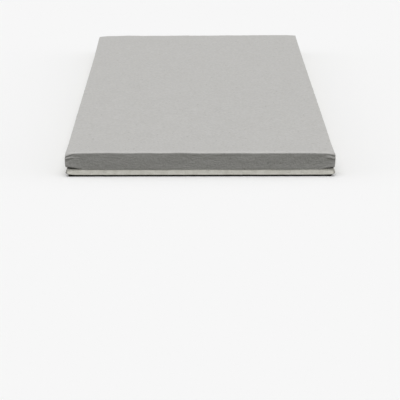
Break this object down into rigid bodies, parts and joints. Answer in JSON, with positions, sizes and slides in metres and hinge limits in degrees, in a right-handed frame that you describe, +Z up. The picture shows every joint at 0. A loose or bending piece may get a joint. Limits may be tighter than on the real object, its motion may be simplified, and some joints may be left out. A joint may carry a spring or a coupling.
{
  "type": "drywall sheet",
  "caption": "Flat gypsum wallboard piece: plaster core in grey face paper folded over its tapered long edges, bare cut ends, flat back paper; lines walls and ceilings.",
  "frame": {"origin": "on the floor under the middle of the sheet, at the underside of its back paper", "axes": "+X along the paper-wrapped edges, +Y from the front wrapped edge to the rear one, +Z up out of the face"},
  "size_m": [0.132, 0.2824, 0.0125],
  "materials": {
    "face_paper": "matte grey multi-ply liner",
    "gypsum_core": "bare set plaster, porous and dusty",
    "back_paper": "uncoated grey-brown recycled liner"
  },
  "bodies": {
    "root": {"face_paper": "face_paper", "gypsum_core": "gypsum_core", "back_paper": "back_paper"}
  },
  "joints": []
}
